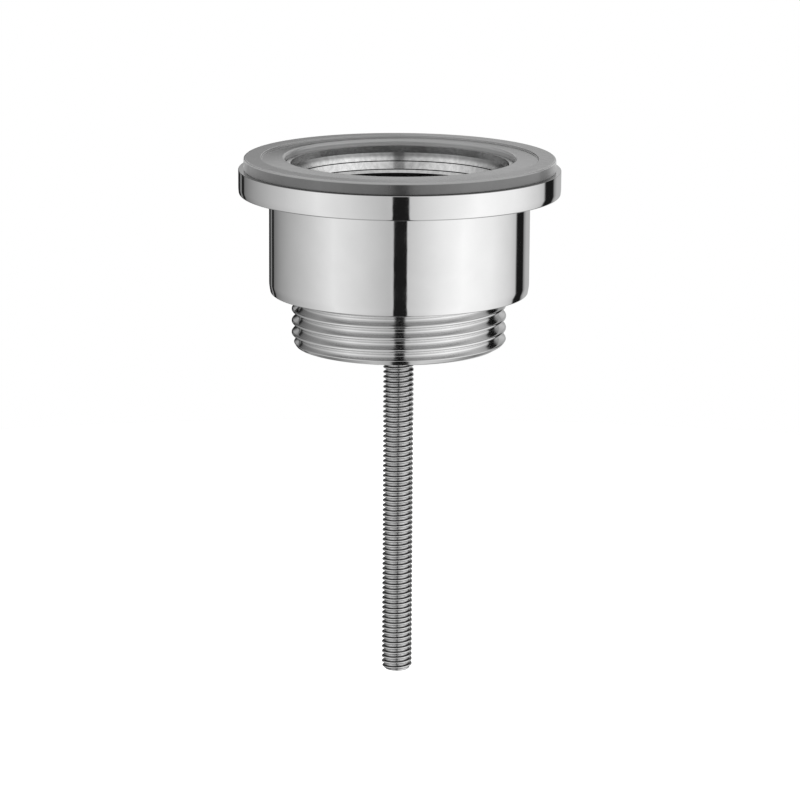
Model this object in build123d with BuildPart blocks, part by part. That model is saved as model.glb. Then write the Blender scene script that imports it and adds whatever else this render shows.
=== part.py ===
"""Lower body of a basin waste, with its flange seal and its tie screw.

Millimetres, +Z up. The origin is on the axis, in the plane where the seal meets the underside of the basin.
"""

import os
from math import radians, tan

from build123d import *

os.makedirs("parts", exist_ok=True)

# Seal ring on the flange
seal_outer_radius = 30.3
seal_inner_radius = 22.2
seal_thickness = 2.3
seal_land_width = 3.45  # flat outer land that meets the basin
seal_step = 0.35  # drop inside the land, from where the ring rises again to its inner edge

# Flange, with a low collar that centres the seal
flange_radius = 31.3
flange_thickness = 4.75
flange_chamfer = 0.5
collar_height = 1.1
collar_wall = 0.85
collar_clearance = 0.15  # radial, between the collar and the seal

# Cup under the flange
cup_radius = 25.35
cup_depth = 24.15  # from the top of the flange to the underside of the cup
cup_chamfer = 0.5

# Mouth: a straight wall from the top of the collar, then three steep cones with small steps between them
mouth_height = 1.35
upper_cone_height = 1.55
middle_cone_height = 1.4
lower_cone_height = 0.55
cone_inset = 0.4  # how far each cone narrows
cone_step_height = 0.2

# Socket that takes the tail of the upper flange, down to a flat shoulder round the narrower bore
socket_length = 12.3

# Spigot with a G 1 1/4 thread
spigot_length = 10.45
spigot_wall = 2.1  # between the bore and the roots of the thread
spigot_chamfer_height = 1.2
spigot_chamfer_width = 0.75
thread_diameter = 41.91
thread_pitch = 2.309
thread_depth = 1.479
thread_angle = 55.0
thread_crest_width = 0.42
thread_end_gap = 0.2  # plain land between the last groove and the cup
groove_overcut = 0.2  # how far the groove's flanks run past the crests, for a clean cut

# Spider across the bore, which carries the tapped hub
arm_count = 3
arm_width = 4.0
arm_height = 5.5
arm_rise = 1.0  # from the underside of the hub to the underside of the arms
arm_root_depth = 0.7  # how far each arm runs into the wall of the bore
arm_edge_radius = 0.8
hub_radius = 5.6
hub_length = 8.0
hole_chamfer = 0.5  # at both ends of the screw's hole
hub_above_spigot_end = 5.8

# Tie screw, M6 with a slotted cheese head
screw_diameter = 6.0
screw_length = 80.0
screw_end_chamfer = 0.7
screw_clearance = 0.05  # radial, between the screw and the hub
head_diameter = 10.0
head_height = 3.9
head_chamfer = 0.4
slot_width = 1.6
slot_depth = 1.8

# Levels and radii that follow from the sizes
flange_top = -seal_thickness
flange_bottom = flange_top - flange_thickness
collar_top = flange_top + collar_height
collar_radius = seal_inner_radius - collar_clearance
mouth_radius = collar_radius - collar_wall
cup_bottom = flange_top - cup_depth
spigot_end = cup_bottom - spigot_length
thread_radius = thread_diameter / 2
bore_radius = thread_radius - thread_depth - spigot_wall
hub_bottom = spigot_end + hub_above_spigot_end
hub_top = hub_bottom + hub_length
screw_radius = screw_diameter / 2
screw_end = hub_top - screw_length
head_top = hub_top + head_height

# The inside of the mouth from the top down: each cone is followed by a small upright step
mouth_points = [(mouth_radius, collar_top)]
cone_radius = mouth_radius
cone_top = collar_top - mouth_height
for cone_height in (upper_cone_height, middle_cone_height, lower_cone_height):
    mouth_points.append((cone_radius, cone_top))
    cone_radius -= cone_inset
    mouth_points.append((cone_radius, cone_top - cone_height))
    cone_top -= cone_height + cone_step_height
socket_radius = cone_radius
socket_bottom = cone_top + cone_step_height - socket_length

with BuildPart() as waste_body:
    # Turned form: half of the section, from the bore up through the mouth and down the outside
    with BuildSketch(Plane.XZ) as half_section:
        with BuildLine():
            Polyline(
                *reversed(mouth_points),
                (collar_radius, collar_top),
                (collar_radius, flange_top),
                (flange_radius, flange_top),
                (flange_radius, flange_bottom),
                (cup_radius, flange_bottom),
                (cup_radius, cup_bottom),
                (thread_radius, cup_bottom),
                (thread_radius, spigot_end),
                (bore_radius, spigot_end),
                (bore_radius, socket_bottom),
                (socket_radius, socket_bottom),
                close=True,
            )
        make_face()
        chamfer(half_section.vertices().group_by(Axis.X)[-1], length=flange_chamfer)
        chamfer(half_section.vertices().sort_by_distance((cup_radius, cup_bottom))[0], length=cup_chamfer)
    revolve(axis=Axis.Z)

    # Right-hand thread: a helical groove that runs in from below the end and stops short of the cup
    flank_slope = tan(radians(thread_angle / 2))
    groove_half_root = (thread_pitch - thread_crest_width) / 2 - thread_depth * flank_slope
    groove_half_mouth = (thread_pitch - thread_crest_width) / 2 + groove_overcut * flank_slope
    groove_floor = thread_radius - thread_depth
    groove_rim = thread_radius + groove_overcut
    groove_start = spigot_end - thread_pitch
    groove_end = cup_bottom - thread_end_gap - groove_half_mouth
    with BuildLine() as groove_path:
        Helix(thread_pitch, groove_end - groove_start, thread_radius, center=(0, 0, groove_start))
    with BuildSketch(Plane.XZ) as groove_section:
        with BuildLine():
            Polyline(
                (groove_floor, groove_start - groove_half_root),
                (groove_rim, groove_start - groove_half_mouth),
                (groove_rim, groove_start + groove_half_mouth),
                (groove_floor, groove_start + groove_half_root),
                close=True,
            )
        make_face()
    sweep(path=groove_path.line, is_frenet=True, mode=Mode.SUBTRACT)

    # Chamfer at the end of the spigot, cut as a ring whose slope runs on past the crests
    with BuildSketch(Plane.XZ) as chamfer_section:
        with BuildLine():
            Polyline(
                (thread_radius - spigot_chamfer_width, spigot_end),
                (thread_radius + spigot_chamfer_width, spigot_end),
                (thread_radius + spigot_chamfer_width, spigot_end + 2 * spigot_chamfer_height),
                close=True,
            )
        make_face()
    revolve(axis=Axis.Z, mode=Mode.SUBTRACT)

    # Spider: arms with rounded tops that join the hub to the wall of the bore
    with BuildSketch(Plane.XY.offset(hub_bottom + arm_rise)) as arms_plan:
        with PolarLocations(0, arm_count, start_angle=90):
            Rectangle(bore_radius + arm_root_depth, arm_width, align=(Align.MIN, Align.CENTER))
    extrude(amount=arm_height)
    arm_edges = waste_body.edges().filter_by(GeomType.LINE).filter_by(Plane.XY)
    fillet(arm_edges.group_by(Axis.Z)[-1], radius=arm_edge_radius)

    # Hub, drilled for the tie screw
    with BuildSketch(Plane.XY.offset(hub_bottom)) as hub_plan:
        Circle(hub_radius)
    extrude(amount=hub_length)
    with BuildSketch(Plane.XY.offset(hub_bottom)) as hub_hole:
        Circle(screw_radius + screw_clearance)
    extrude(amount=hub_length, mode=Mode.SUBTRACT)
    chamfer(waste_body.edges(Select.LAST).filter_by(GeomType.CIRCLE), length=hole_chamfer)

waste_body.part.label = "waste_body"
export_step(waste_body.part, "parts/waste_body.step")

with BuildPart() as flange_seal:
    land_radius = seal_outer_radius - seal_land_width
    with BuildSketch(Plane.XZ) as seal_section:
        with BuildLine():
            Polyline(
                (seal_inner_radius, flange_top),
                (seal_outer_radius, flange_top),
                (seal_outer_radius, 0),
                (land_radius, 0),
                (land_radius, -seal_step),
                (seal_inner_radius, 0),
                close=True,
            )
        make_face()
    revolve(axis=Axis.Z)

flange_seal.part.label = "flange_seal"
export_step(flange_seal.part, "parts/flange_seal.step")

with BuildPart() as tie_screw:
    with BuildSketch(Plane.XZ) as screw_section:
        with BuildLine():
            Polyline(
                (0, screw_end),
                (screw_radius - screw_end_chamfer, screw_end),
                (screw_radius, screw_end + screw_end_chamfer),
                (screw_radius, hub_top),
                (head_diameter / 2, hub_top),
                (head_diameter / 2, head_top),
                (0, head_top),
                close=True,
            )
        make_face()
        chamfer(screw_section.vertices().group_by(Axis.X)[-1].sort_by(Axis.Y)[-1], length=head_chamfer)
    revolve(axis=Axis.Z)
    with BuildSketch(Plane.XY.offset(head_top)) as slot_plan:
        Rectangle(head_diameter, slot_width)
    extrude(amount=-slot_depth, mode=Mode.SUBTRACT)

tie_screw.part.label = "tie_screw"
export_step(tie_screw.part, "parts/tie_screw.step")
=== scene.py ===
"""Looks of the basin waste body: chrome body, grey seal and threaded tie screw in a white studio."""
from math import atan2, ceil, cos, floor, pi, radians, sin, sqrt, tan

import bmesh
import bpy
from mathutils import Matrix, Vector


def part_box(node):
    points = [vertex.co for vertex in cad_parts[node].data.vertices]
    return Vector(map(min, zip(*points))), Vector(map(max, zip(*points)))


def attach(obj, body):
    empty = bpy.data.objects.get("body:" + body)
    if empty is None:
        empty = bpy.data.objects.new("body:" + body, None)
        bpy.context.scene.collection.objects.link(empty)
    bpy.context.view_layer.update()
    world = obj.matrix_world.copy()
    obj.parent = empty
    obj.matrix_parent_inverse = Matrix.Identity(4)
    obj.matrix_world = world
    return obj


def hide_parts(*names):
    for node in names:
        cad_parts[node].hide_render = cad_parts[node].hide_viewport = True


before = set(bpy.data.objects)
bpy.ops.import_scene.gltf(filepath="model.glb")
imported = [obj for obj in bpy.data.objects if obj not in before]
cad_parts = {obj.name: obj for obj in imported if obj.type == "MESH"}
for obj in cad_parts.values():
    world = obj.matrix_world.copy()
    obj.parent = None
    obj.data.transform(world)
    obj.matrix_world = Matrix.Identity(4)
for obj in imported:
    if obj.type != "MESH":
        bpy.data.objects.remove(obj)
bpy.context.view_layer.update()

MM = 0.001
TURN = 2 * pi
WELD = 1e-7  # vertices nearer than this become one
body_segments = 240
screw_segments = 48
pipe_thread_rows = 32  # rows of vertices to a pitch
screw_thread_rows = 12

# Sizes in millimetres, as in the part's source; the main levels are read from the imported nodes
flange_thickness = 4.75
flange_top_radius = 0.15
flange_edge_radius = 0.3
flange_relief = 0.11  # draft at the foot of the flange's side
flange_relief_height = 1.0
flange_relief_radius = 5.0
collar_height = 1.1
collar_wall = 0.85
collar_clearance = 0.15
cup_radius = 25.35
cup_depth = 24.15
cup_relief = 0.25  # draft at the foot of the cup
cup_relief_height = 1.5
cup_relief_radius = 6.0
cup_edge_radius = 0.2
mouth_height = 1.35
cone_heights = (1.55, 1.4, 0.55)
cone_inset = 0.4
cone_step_height = 0.2
socket_length = 12.3
spigot_wall = 2.1
spigot_chamfer_height = 1.2
spigot_chamfer_width = 0.75
pipe_radius = 41.91 / 2
pipe_thread = {"pitch": 2.309, "depth": 1.479, "angle": 55.0}
arm_count = 3
arm_width = 4.0
arm_height = 5.5
arm_rise = 1.0
arm_edge_radius = 0.8
hub_radius = 5.6
hub_length = 8.0
hub_above_spigot_end = 5.8
hub_edge_radius = 0.4
hole_chamfer = 0.5
screw_radius = 3.0
screw_thread = {"pitch": 1.0, "depth": 0.613, "angle": 60.0}
screw_end_chamfer = 0.7
screw_clearance = 0.05
head_radius = 5.0
head_edge_radius = 0.5
slot_width = 1.6
slot_depth = 1.8
seal_inner_radius = 22.2
seal_land_width = 3.45
seal_step = 0.35
seal_edge_radius = 0.3
seal_rim_radius = 0.45
seal_lip_radius = 0.6
seal_foot_radius = 0.1

body_low, body_high = (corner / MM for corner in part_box("waste_body"))
seal_low, seal_high = (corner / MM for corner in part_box("flange_seal"))
screw_low, screw_high = (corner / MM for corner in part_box("tie_screw"))

# Levels and radii that follow from the sizes and the nodes
flange_radius = body_high.x
flange_top = seal_low.z
flange_bottom = flange_top - flange_thickness
collar_top = flange_top + collar_height
collar_radius = seal_inner_radius - collar_clearance
mouth_radius = collar_radius - collar_wall
wall_foot = collar_top - mouth_height
cone_foot = wall_foot - sum(cone_heights) - (len(cone_heights) - 1) * cone_step_height
socket_radius = mouth_radius - len(cone_heights) * cone_inset
socket_bottom = cone_foot - socket_length
cup_bottom = flange_top - cup_depth
spigot_end = body_low.z
bore_radius = pipe_radius - pipe_thread["depth"] - spigot_wall
hub_bottom = spigot_end + hub_above_spigot_end
hub_top = hub_bottom + hub_length
hole_radius = screw_radius + screw_clearance
screw_end = screw_low.z
head_top = screw_high.z
slot_bottom = head_top - slot_depth
seal_outer_radius = seal_high.x
land_radius = seal_outer_radius - seal_land_width


def rounded(corners, steps=6):
    """Outline points (place, sharp) from corners (radius, height) or (radius, height, rounding)."""
    points = []
    for index, corner in enumerate(corners):
        here = Vector(corner[:2])
        if len(corner) < 3:
            points.append((here, True))
            continue
        before = (Vector(corners[index - 1][:2]) - here).normalized()
        after = (Vector(corners[(index + 1) % len(corners)][:2]) - here).normalized()
        half = before.angle(after) / 2
        centre = here + (before + after).normalized() * (corner[2] / sin(half))
        start = here + before * (corner[2] / tan(half)) - centre
        end = here + after * (corner[2] / tan(half)) - centre
        sweep = atan2(start.x * end.y - start.y * end.x, start.dot(end))
        for step in range(steps + 1):
            points.append((centre + Matrix.Rotation(sweep * step / steps, 2) @ start, False))
    return points


def polar(radius, angle, height):
    """A point in metres from millimetres round the axis."""
    return Vector((radius * cos(angle), radius * sin(angle), height)) * MM


def ring(mesh, radius, height, segments):
    """Vertices of a circle; the radius is a number or a function of the angle."""
    angles = [TURN * index / segments for index in range(segments)]
    reach = radius if callable(radius) else lambda angle: radius
    return [mesh.verts.new(polar(reach(angle), angle, height)) for angle in angles]


def bridge(mesh, first, second):
    """A band of faces between two rings with equal counts."""
    for index in range(len(first)):
        ahead = (index + 1) % len(first)
        mesh.faces.new((first[index], first[ahead], second[ahead], second[index]))


def crease(mesh, verts):
    """Mark the edges round a ring as sharp."""
    for index in range(len(verts)):
        mesh.edges.get((verts[index - 1], verts[index])).smooth = False


def lathe(mesh, outline, segments, closed=True):
    """Turn an outline from rounded() about the axis; returns the first and the last ring."""
    rings = [ring(mesh, place.x, place.y, segments) for place, sharp in outline]
    for first, second in zip(rings, rings[1:]):
        bridge(mesh, first, second)
    if closed:
        bridge(mesh, rings[-1], rings[0])
    for verts, (place, sharp) in zip(rings, outline):
        if sharp:
            crease(mesh, verts)
    return rings[0], rings[-1]


def thread_drop(distance, pitch, depth, angle):
    """How far a thread with round crests and roots lies under its crest, at this distance along the axis."""
    half = radians(angle / 2)
    rounding = (pitch / 2 / tan(half) - depth) / (2 / sin(half) - 2)
    tangent = rounding * cos(half)
    from_crest = abs((distance / pitch + 0.5) % 1 - 0.5) * pitch
    from_root = pitch / 2 - from_crest
    if from_crest < tangent:
        return rounding - sqrt(rounding ** 2 - from_crest ** 2)
    if from_root < tangent:
        return depth - rounding + sqrt(rounding ** 2 - from_root ** 2)
    return rounding * (1 - sin(half)) + (from_crest - tangent) / tan(half)


def threaded_wall(mesh, low, high, crest, pitch, radius_at, segments, rows):
    """A wall between two heights whose rows of vertices follow a right-hand helix, so many to a pitch.

    The helix passes the height crest on +X, and radius_at(height, angle) gives the radius.
    """
    base = crest + pitch * (floor((low - crest) / pitch) - 1)
    row_count = rows * (ceil((high - base) / pitch) + 2)
    columns = []
    for index in range(segments):
        angle = TURN * index / segments
        heights = [base + pitch * (row / rows + index / segments) for row in range(row_count)]
        heights = [min(max(height, low), high) for height in heights]
        points = [polar(radius_at(height, angle), angle, height) for height in heights]
        columns.append([mesh.verts.new(point) for point in points])
    for index in range(segments):
        here = columns[index]
        ahead = columns[index + 1] if index + 1 < segments else columns[0][rows:]
        for row in range(min(len(here), len(ahead)) - 1):
            mesh.faces.new((here[row], ahead[row], ahead[row + 1], here[row + 1]))


def pipe_thread_radius(height, angle):
    """Radius of the spigot's thread, cut back by the chamfer at its end."""
    rise = height - spigot_end - pipe_thread["pitch"] * (angle / TURN + 0.5)
    chamfer_slope = spigot_chamfer_width / spigot_chamfer_height
    chamfer = pipe_radius - spigot_chamfer_width + (height - spigot_end) * chamfer_slope
    return min(pipe_radius - thread_drop(rise, **pipe_thread), chamfer)


def screw_thread_radius(height, angle):
    """Radius of the screw's thread, cut back by the chamfer at its end."""
    rise = height - screw_end - screw_thread["pitch"] * angle / TURN
    chamfer = screw_radius - screw_end_chamfer + height - screw_end
    return min(screw_radius - thread_drop(rise, **screw_thread), chamfer)


def bar(mesh, angle, inner, outer, outline):
    """A straight bar along a radius, with a cross-section from rounded()."""
    turn = Matrix.Rotation(angle, 4, "Z")
    ends = []
    for reach in (inner, outer):
        points = [turn @ Vector((reach, place.x, place.y)) * MM for place, sharp in outline]
        ends.append([mesh.verts.new(point) for point in points])
    bridge(mesh, *ends)
    for index, (place, sharp) in enumerate(outline):
        if sharp:
            mesh.edges.get((ends[0][index], ends[1][index])).smooth = False
    for verts in ends:
        mesh.faces.new(verts)
        crease(mesh, verts)


def finish_piece(name, mesh, finish, node, body):
    """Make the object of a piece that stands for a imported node."""
    bmesh.ops.remove_doubles(mesh, verts=mesh.verts, dist=WELD)
    bmesh.ops.recalc_face_normals(mesh, faces=mesh.faces)
    for face in mesh.faces:
        face.smooth = True
    data = bpy.data.meshes.new(name)
    mesh.to_mesh(data)
    mesh.free()
    data.materials.append(finish)
    piece = bpy.data.objects.new(name, data)
    bpy.context.scene.collection.objects.link(piece)
    weighted = piece.modifiers.new("flat_faces", "WEIGHTED_NORMAL")
    weighted.keep_sharp = True
    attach(piece, body)
    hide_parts(node)


def mouth_corners():
    """The mouth from the top down: a straight wall, then cones with a small upright step between them."""
    corners = [(mouth_radius, collar_top)]
    radius = mouth_radius
    height = wall_foot
    for cone_height in cone_heights:
        corners.append((radius, height))
        radius -= cone_inset
        corners.append((radius, height - cone_height))
        height -= cone_height + cone_step_height
    return corners


def add_turned_form(mesh):
    """The body's turned form, from the bore up through the mouth and down the outside to the pipe thread."""
    bore = [(bore_radius, spigot_end), (bore_radius, socket_bottom), (socket_radius, socket_bottom)]
    outside = [
        (collar_radius, collar_top),
        (collar_radius, flange_top),
        (flange_radius, flange_top, flange_top_radius),
        (flange_radius, flange_bottom + flange_relief_height, flange_relief_radius),
        (flange_radius - flange_relief, flange_bottom, flange_edge_radius),
        (cup_radius, flange_bottom),
        (cup_radius, cup_bottom + cup_relief_height, cup_relief_radius),
        (cup_radius - cup_relief, cup_bottom, cup_edge_radius),
        (pipe_radius, cup_bottom),
    ]
    # The last corner only aims the cup's underside, which ends on the thread itself
    outline = rounded(bore + mouth_corners()[::-1] + outside)[:-1]
    first, last = lathe(mesh, outline, body_segments, closed=False)
    shoulder = ring(mesh, lambda angle: pipe_thread_radius(cup_bottom, angle), cup_bottom, body_segments)
    bridge(mesh, last, shoulder)
    foot = ring(mesh, lambda angle: pipe_thread_radius(spigot_end, angle), spigot_end, body_segments)
    bridge(mesh, foot, first)
    pitch = pipe_thread["pitch"]
    crest = spigot_end + pitch / 2
    threaded_wall(mesh, spigot_end, cup_bottom, crest, pitch, pipe_thread_radius,
                  body_segments, pipe_thread_rows)


def add_spider(mesh):
    """The hub and the arms that carry it across the bore; they run into the hub and the spigot's wall."""
    half_width = arm_width / 2
    arm_bottom = hub_bottom + arm_rise
    arm_top = arm_bottom + arm_height
    arm_section = rounded([
        (-half_width, arm_bottom),
        (half_width, arm_bottom),
        (half_width, arm_top, arm_edge_radius),
        (-half_width, arm_top, arm_edge_radius),
    ])
    arm_start = (hub_radius + hole_radius) / 2
    arm_end = bore_radius + spigot_wall / 4
    for index in range(arm_count):
        bar(mesh, TURN * index / arm_count + TURN / 4, arm_start, arm_end, arm_section)
    lathe(mesh, rounded([
        (hole_radius, hub_bottom + hole_chamfer),
        (hole_radius + hole_chamfer, hub_bottom),
        (hub_radius, hub_bottom, hub_edge_radius),
        (hub_radius, hub_top, hub_edge_radius),
        (hole_radius + hole_chamfer, hub_top),
        (hole_radius, hub_top - hole_chamfer),
    ]), body_segments // 2)


def make_body(finish):
    """Chrome body: turned form, pipe thread on the spigot, and the spider with its hub."""
    mesh = bmesh.new()
    add_turned_form(mesh)
    add_spider(mesh)
    finish_piece("waste_body_chrome", mesh, finish, "waste_body", "body")


def make_seal(finish):
    """Seal ring with soft edges and a shallow step inside its land."""
    mesh = bmesh.new()
    lathe(mesh, rounded([
        (seal_inner_radius, flange_top, seal_edge_radius),
        (seal_outer_radius, flange_top, seal_foot_radius),
        (seal_outer_radius, 0, seal_rim_radius),
        (land_radius, 0, seal_edge_radius / 2),
        (land_radius, -seal_step, seal_edge_radius / 2),
        (seal_inner_radius, 0, seal_lip_radius),
    ]), body_segments)
    finish_piece("flange_seal_ring", mesh, finish, "flange_seal", "body")


def half_head(mesh, side, outline):
    """One half of the slotted part of the screw's head, beside the slot."""
    loops = []
    for place, sharp in outline:
        start = atan2(slot_width / 2, sqrt(place.x ** 2 - slot_width ** 2 / 4))
        angles = [start + (pi - 2 * start) * index / screw_segments for index in range(screw_segments + 1)]
        loops.append([mesh.verts.new(polar(place.x, side * angle, place.y)) for angle in angles])
    for first, second in zip(loops, loops[1:]):
        bridge(mesh, first, second)
        for index in (0, -1):
            mesh.edges.get((first[index], second[index])).smooth = False
    for verts in (loops[0], loops[-1]):
        mesh.faces.new(verts)
        crease(mesh, verts)


def make_screw(finish):
    """Tie screw: threaded shank with a chamfered end, and a slotted cheese head."""
    mesh = bmesh.new()
    pitch = screw_thread["pitch"]
    threaded_wall(mesh, screw_end, hub_top, screw_end, pitch, screw_thread_radius,
                  screw_segments, screw_thread_rows)
    foot = ring(mesh, lambda angle: screw_thread_radius(screw_end, angle), screw_end, screw_segments)
    mesh.faces.new(foot)
    crease(mesh, foot)
    lower_head = rounded([
        (screw_radius / 2, hub_top),
        (head_radius, hub_top),
        (head_radius, slot_bottom),
        (screw_radius / 2, slot_bottom),
    ])
    top = lathe(mesh, lower_head, screw_segments * 2, closed=False)[1]
    mesh.faces.new(top)
    # The last corner only aims the rounded edge
    upper_head = rounded([
        (head_radius, slot_bottom),
        (head_radius, head_top, head_edge_radius),
        (head_radius - slot_width, head_top),
    ])[:-1]
    for side in (1, -1):
        half_head(mesh, side, upper_head)
    finish_piece("tie_screw_threaded", mesh, finish, "tie_screw", "tie_screw")


def plug(tree, node, inputs):
    """Set a node's inputs, by name or number, each to a value or to another node's output."""
    for name, value in inputs.items():
        socket = node.inputs[name]
        if isinstance(value, bpy.types.NodeSocket):
            tree.links.new(value, socket)
        else:
            socket.default_value = value


def add(tree, kind, inputs=None, **settings):
    """A new node with its inputs and settings."""
    made = tree.nodes.new(kind)
    for name, value in settings.items():
        setattr(made, name, value)
    plug(tree, made, inputs or {})
    return made


def math(tree, operation, *values):
    """A math node's output."""
    return add(tree, "ShaderNodeMath", dict(enumerate(values)), operation=operation).outputs[0]


def times(tree, first, second):
    """A product; that of two masks is 1 where both hold."""
    return math(tree, "MULTIPLY", first, second)


def above(tree, value, limit):
    """A mask that is 1 where the value is over the limit."""
    return math(tree, "GREATER_THAN", value, limit)


def below(tree, value, limit):
    """A mask that is 1 where the value is under the limit."""
    return math(tree, "LESS_THAN", value, limit)


def fade(tree, value, low, high, start, end):
    """A smooth change from start to end as the value goes from low to high."""
    sockets = {"Value": value, "From Min": low, "From Max": high, "To Min": start, "To Max": end}
    return add(tree, "ShaderNodeMapRange", sockets, interpolation_type="SMOOTHSTEP").outputs[0]


def mix(tree, factor, first, second):
    """A number between two others."""
    return add(tree, "ShaderNodeMix", {0: factor, 2: first, 3: second}).outputs[0]


def ramp(tree, fac, stops):
    """A grey colour ramp's output; stops are (position, level)."""
    made = add(tree, "ShaderNodeValToRGB", {"Fac": fac})
    elements = made.color_ramp.elements
    while len(elements) < len(stops):
        elements.new(1.0)
    for element, (position, level) in zip(elements, stops):
        element.position = position
        element.color = (level, level, level, 1)
    return made.outputs["Color"]


def coordinates(tree, kind):
    """X, Y and Z of a texture coordinate."""
    place = add(tree, "ShaderNodeTexCoord").outputs[kind]
    return add(tree, "ShaderNodeSeparateXYZ", {0: place}).outputs


def axis_place(tree):
    """Distance from the axis and height, in millimetres, in the object's own space."""
    x, y, z = coordinates(tree, "Object")
    across = math(tree, "SQRT", math(tree, "ADD", times(tree, x, x), times(tree, y, y)))
    return math(tree, "DIVIDE", across, MM), math(tree, "DIVIDE", z, MM)


def noise(tree, scale, detail=3.0):
    """A noise pattern in the object's own space, with features of about 1 / scale metres."""
    place = add(tree, "ShaderNodeTexCoord").outputs["Object"]
    made = add(tree, "ShaderNodeTexNoise", {"Vector": place, "Scale": scale, "Detail": detail})
    return made.outputs["Fac"]


def mottled(tree, scale, low, high, spread=0.2):
    """Levels from low to high in a noise pattern, reached at spread below and above its middle."""
    return ramp(tree, noise(tree, scale), [(0.5 - spread, low), (0.5 + spread, high)])


def material(name):
    """A node material with a principled shader; returns the material, its tree and the shader."""
    made = bpy.data.materials.new(name)
    made.use_nodes = True
    tree = made.node_tree
    return made, tree, tree.nodes["Principled BSDF"]


bump_distance = 0.1 * MM
crisp = 0.15  # spread of a noise pattern with clear edges
skin = 0.05  # margin round a zone of finish, in millimetres


def bumps(tree, scale, strength, detail=3.0):
    """Normals of a surface with shallow bumps."""
    sockets = {"Height": noise(tree, scale, detail), "Strength": strength, "Distance": bump_distance}
    return add(tree, "ShaderNodeBump", sockets).outputs["Normal"]


# Chrome body: grey levels and roughness of its zones, with painted shade in the mouth and bore, beside the
# seal and on the spigot's upward faces
plate_levels = (0.92, 0.95)
plate_haze = (0.03, 0.07)
thread_roughness = 0.1
ledge_shade_level = 0.6  # painted shade on what faces up on the spigot
ledge_facing = (0.45, 0.95)  # by the Z of its normal
beside_seal_shade_level = 0.3  # painted shade on the narrow ledge of the flange round the seal
# Painted shade in the mouth and bore: the straight wall, the cones and the socket are darker than the plate
wall_shade_levels = (0.42, 0.58)
shaded_cone_levels = (0.7, 0.86)
cone_shade = 0.45  # the cones are darker by this factor at their top
cone_shade_depths = (0.4, 1.2)  # which fades out between these depths under the straight wall
socket_shade_levels = (0.08, 0.14)
deep_bore_shade_levels = (0.42, 0.54)  # painted shade on the spider and lower bore
cone_roughness = 0.13
dull_roughness = 0.25  # straight wall, socket and lower bore


def chrome():
    """Polished chrome plate with a trace of haze; duller mouth; painted shade makes the socket dark and the
    spider grey, and darkens the mouth, the ledge round the seal and what faces up on the spigot.
    """
    made, tree, shader = material("chrome_plate")
    radius, height = axis_place(tree)
    facing = coordinates(tree, "Normal")["Z"]

    # Zones
    lower_reach = bore_radius + spigot_wall / 2
    reach = fade(tree, height, cup_bottom, socket_bottom, lower_reach, collar_radius + skin)
    within = times(tree, below(tree, radius, reach), above(tree, height, spigot_end + skin))
    on_wall = times(tree, within, above(tree, height, wall_foot))
    in_bore = times(tree, within, below(tree, height, cone_foot))
    below_socket = below(tree, height, socket_bottom + skin)
    on_spigot = times(tree, below(tree, height, cup_bottom - skin), math(tree, "SUBTRACT", 1.0, within))
    on_ledge = times(tree, on_spigot, fade(tree, facing, *ledge_facing, 0.0, 1.0))
    off_collar = above(tree, radius, collar_radius + skin)
    beside_seal = times(tree, off_collar, above(tree, height, flange_top - skin))

    # Colours
    plate = mix(tree, on_ledge, mottled(tree, 160, *plate_levels, crisp), ledge_shade_level)
    shade_high, shade_low = (wall_foot - depth for depth in cone_shade_depths)
    shade = fade(tree, height, shade_low, shade_high, 1.0, cone_shade)
    cones = times(tree, shade, mottled(tree, 1200, *shaded_cone_levels, crisp))
    wall = mottled(tree, 1800, *wall_shade_levels, crisp)
    bore = mix(tree, below_socket, mottled(tree, 900, *socket_shade_levels), mottled(tree, 700, *deep_bore_shade_levels))
    mouth = mix(tree, in_bore, mix(tree, on_wall, cones, wall), bore)
    colour = mix(tree, beside_seal, mix(tree, within, plate, mouth), beside_seal_shade_level)

    # Roughness
    polish = mix(tree, on_spigot, mottled(tree, 420, *plate_haze), thread_roughness)
    dull = mix(tree, math(tree, "MAXIMUM", on_wall, in_bore), cone_roughness, dull_roughness)
    plug(tree, shader, {
        "Base Color": colour,
        "Metallic": 1.0,
        "Roughness": mix(tree, within, polish, dull),
        "Normal": bumps(tree, 260, 0.05, 2.0),
    })
    return made


# Seal: grey levels of the rubber on its thick land, and painted light where it is thin or ends
rubber_levels = (0.04, 0.06)
# painted light: paler where the rubber thins inside the land, standing in for light through it
thin_painted_light_level = 0.1
# painted highlights on the step, the lip and the rim
step_highlight_level = 0.3
lip_highlight_level = 0.42
rim_highlight_level = 0.34


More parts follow.
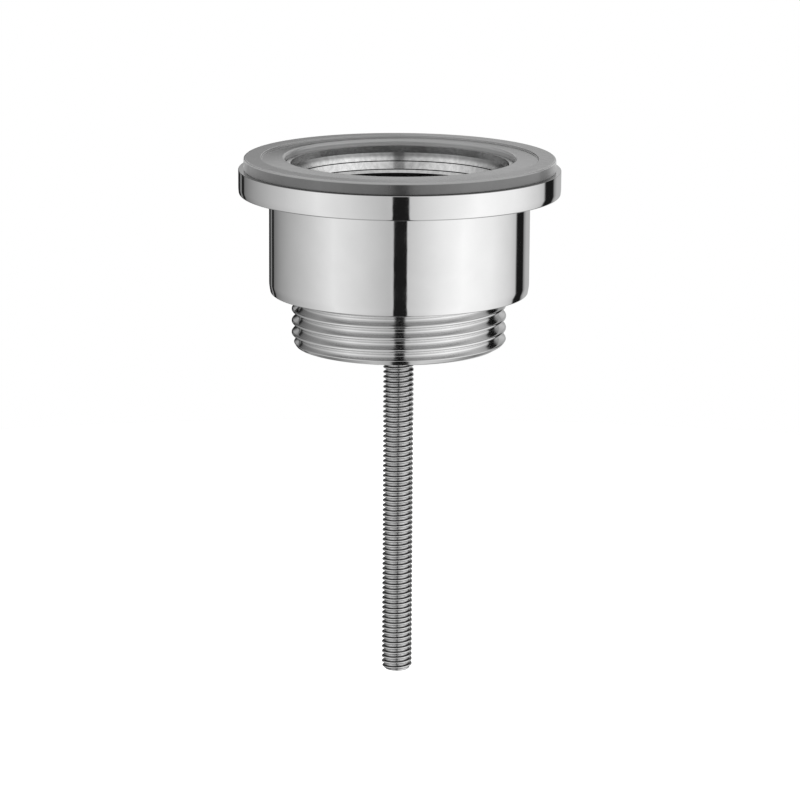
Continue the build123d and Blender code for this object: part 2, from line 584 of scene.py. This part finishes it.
def seal_rubber():
    """Glossy grey soft rubber, with painted highlights at its edges and painted light, standing in for
    translucency, where it thins inside the land.
    """
    made, tree, shader = material("seal_rubber_painted_light")
    radius, height = axis_place(tree)

    # Zones
    thin = fade(tree, radius, land_radius - seal_edge_radius, land_radius + seal_edge_radius, 1.0, 0.0)
    off_step = math(tree, "ABSOLUTE", math(tree, "SUBTRACT", radius, land_radius))
    on_step = fade(tree, off_step, 0.0, seal_edge_radius, 1.0, 0.0)
    on_lip = fade(tree, radius, seal_inner_radius, seal_inner_radius + seal_lip_radius, 1.0, 0.0)
    half_rim = seal_rim_radius / 2
    rim_start = seal_outer_radius - seal_rim_radius
    near_side = fade(tree, radius, rim_start, rim_start + half_rim, 0.0, 1.0)
    on_rim = times(tree, near_side, fade(tree, height, -seal_rim_radius, -half_rim, 0.0, 1.0))
    on_side = above(tree, radius, seal_outer_radius - seal_foot_radius)

    land = mix(tree, thin, mottled(tree, 300, *rubber_levels), thin_painted_light_level)
    top = mix(tree, on_lip, mix(tree, on_step, land, step_highlight_level), lip_highlight_level)
    plug(tree, shader, {
        "Base Color": mix(tree, on_rim, top, rim_highlight_level),
        "Roughness": mottled(tree, 700, 0.14, 0.22),
        "IOR": 2.33,
        "Sheen Weight": on_side,
        "Sheen Roughness": 0.47,
        "Normal": bumps(tree, 900, 0.08),
    })
    return made


# Screw: grey level by depth in the thread, from the root to the crest, and elsewhere; the near-black flanks
# are painted shade
thread_shade_bands = [(0.0, 0.85), (0.15, 0.8), (0.3, 0.04), (0.82, 0.08), (0.96, 0.95)]
head_level = 0.9


def screw_steel():
    """Bright zinc-plated steel, with painted shade darkening the flanks of the thread."""
    made, tree, shader = material("zinc_steel")
    radius, height = axis_place(tree)
    rise = fade(tree, radius, screw_radius - screw_thread["depth"], screw_radius, 0.0, 1.0)
    on_shank = times(tree, below(tree, height, hub_top - skin), above(tree, height, screw_end + skin))
    level = mix(tree, on_shank, head_level, ramp(tree, rise, thread_shade_bands))
    plug(tree, shader, {
        "Base Color": times(tree, level, mottled(tree, 500, 0.85, 1.0)),
        "Metallic": 1.0,
        "Roughness": mottled(tree, 1500, 0.18, 0.28),
        "Normal": bumps(tree, 2500, 0.02),
    })
    return made


# Light level by azimuth in degrees from the camera: two broad soft boxes, with dark gaps behind them
soft_boxes = [
    (-180, 0.01), (-161, 0.01), (-158, 0.22), (-154.5, 0.22), (-153, 0.01), (-147.5, 0.01),
    (-145.5, 0.17), (-128, 0.31), (-89, 0.57), (-60, 0.81), (-35, 0.68), (-9, 0.49),
    (9, 0.59), (35, 0.84), (58, 1.01), (89, 0.89), (116, 0.64), (124.5, 0.52),
    (127, 0.01), (141.5, 0.01), (144.5, 0.28), (151, 0.45), (180, 0.48),
]

# Other parts of the studio; X, Y and heights are those of the direction looked in, from -1 to 1
gap_foot_fade = (-0.6, -0.45)  # the gaps end above the ground, between these heights
gap_foot_level = 0.4
slit_lean = 0.017  # the dark slit between the boxes leans a little to the right of the camera
slit_edges = (0.09, 0.11)  # and ends this far to its sides
slit_fade = (0.1, 0.75)  # it fades between these heights
slit_level = 0.02
ground_levels = [(-1.0, 0.65), (-0.85, 0.6), (-0.78, 0.45), (-0.7, 0.45), (-0.5, 1.0)]  # by height
backdrop_start = (0.2, 0.6)  # a pale backdrop stands behind the object, between these Y
backdrop_fade = (0.05, 0.25)  # it starts between these heights
backdrop_sides = (0.15, 0.35)  # and ends this far to its sides
backdrop_level = 0.92
ceiling_fade = (0.35, 0.8)
ceiling_level = 0.6
soft_levels = (0.45, 1.0)  # even light for dull surfaces, from below and from above


def studio():
    """World: soft boxes for glossy surfaces, even light for dull ones, and white behind the object."""
    world = bpy.data.worlds.new("studio")
    bpy.context.scene.world = world
    world.use_nodes = True
    tree = world.node_tree
    x, y, z = coordinates(tree, "Generated")

    # Soft boxes, with the slit between them in front of the object
    azimuth = math(tree, "ARCTAN2", x, times(tree, y, -1.0))
    turn = math(tree, "MULTIPLY_ADD", azimuth, 1 / TURN, 0.5)
    boxes = ramp(tree, turn, [(angle / 360 + 0.5, level) for angle, level in soft_boxes])
    filled = math(tree, "MAXIMUM", boxes, gap_foot_level)
    walls = mix(tree, fade(tree, z, *gap_foot_fade, 1.0, 0.0), boxes, filled)
    in_slit = fade(tree, z, *slit_fade, slit_level, 1.0)
    off_slit = math(tree, "ABSOLUTE", math(tree, "SUBTRACT", x, slit_lean))
    slit = fade(tree, off_slit, *slit_edges, in_slit, 1.0)
    open_walls = times(tree, walls, math(tree, "MAXIMUM", slit, above(tree, y, 0.0)))

    # Ground, ceiling and backdrop
    ground_stops = [(height + 1.0, level) for height, level in ground_levels]
    ground = ramp(tree, math(tree, "ADD", z, 1.0), ground_stops)
    ceiling = fade(tree, z, *ceiling_fade, 0.0, 1.0)
    room = mix(tree, ceiling, times(tree, open_walls, ground), ceiling_level)
    raised = times(tree, fade(tree, z, *backdrop_fade, 0.0, 1.0), fade(tree, y, *backdrop_start, 0.0, 1.0))
    straight = fade(tree, math(tree, "ABSOLUTE", x), *backdrop_sides, 1.0, 0.0)
    shine = mix(tree, times(tree, raised, straight), room, backdrop_level)

    path = add(tree, "ShaderNodeLightPath").outputs
    light = mix(tree, path["Is Diffuse Ray"], shine, fade(tree, z, -1.0, 1.0, *soft_levels))
    seen = math(tree, "MAXIMUM", path["Is Camera Ray"], path["Is Transmission Ray"])
    plug(tree, tree.nodes["Background"], {"Color": mix(tree, seen, light, 1.0)})


floor_drop = 55.0  # below the end of the hanging screw
floor_radius = 450.0
floor_levels = (0.9, 0.93)
floor_glow = 0.5  # for the camera alone


def make_floor():
    """Pale round floor that stays white round the object's soft shadow, and can't be seen from below."""
    mesh = bmesh.new()
    mesh.faces.new(ring(mesh, floor_radius, screw_end - floor_drop, body_segments))
    data = bpy.data.meshes.new("floor")
    mesh.to_mesh(data)
    mesh.free()
    plane = bpy.data.objects.new("floor", data)
    bpy.context.scene.collection.objects.link(plane)
    made, tree, shader = material("floor_white")
    plug(tree, shader, {"Base Color": mottled(tree, 40, *floor_levels), "Roughness": 0.9})
    camera_ray = add(tree, "ShaderNodeLightPath").outputs["Is Camera Ray"]
    strength = times(tree, camera_ray, floor_glow)
    glow = add(tree, "ShaderNodeEmission", {"Color": (1, 1, 1, 1), "Strength": strength})
    both = add(tree, "ShaderNodeAddShader", {0: shader.outputs[0], 1: glow.outputs[0]})
    clear = add(tree, "ShaderNodeBsdfTransparent")
    under = add(tree, "ShaderNodeNewGeometry").outputs["Backfacing"]
    one_sided = add(tree, "ShaderNodeMixShader", {0: under, 1: both.outputs[0], 2: clear.outputs[0]})
    plug(tree, tree.nodes["Material Output"], {"Surface": one_sided.outputs[0]})
    data.materials.append(made)
    plane.visible_glossy = False


# Camera, from the photograph's outline: millimetres and degrees
camera_target = Vector((0.32, 0.0, -48.60))
camera_distance = 750.0
camera_elevation = 12.95
camera_roll = 0.36
camera_lens = 171.1
camera_clip = 10.0


def make_camera():
    """Camera at the photograph's viewing angle, on the -Y side."""
    data = bpy.data.cameras.new("camera")
    data.lens = camera_lens
    data.clip_start = camera_clip * MM
    camera = bpy.data.objects.new("camera", data)
    bpy.context.scene.collection.objects.link(camera)
    elevation = radians(camera_elevation)
    back = Vector((0, -cos(elevation), sin(elevation)))
    camera.location = (camera_target + back * camera_distance) * MM
    look = (-back).to_track_quat("-Z", "Y").to_matrix().to_4x4()
    camera.rotation_euler = (look @ Matrix.Rotation(radians(camera_roll), 4, "Z")).to_euler()
    bpy.context.scene.camera = camera


make_body(chrome())
make_seal(seal_rubber())
make_screw(screw_steel())
studio()
make_floor()
make_camera()
bpy.context.scene.view_settings.view_transform = "Standard"
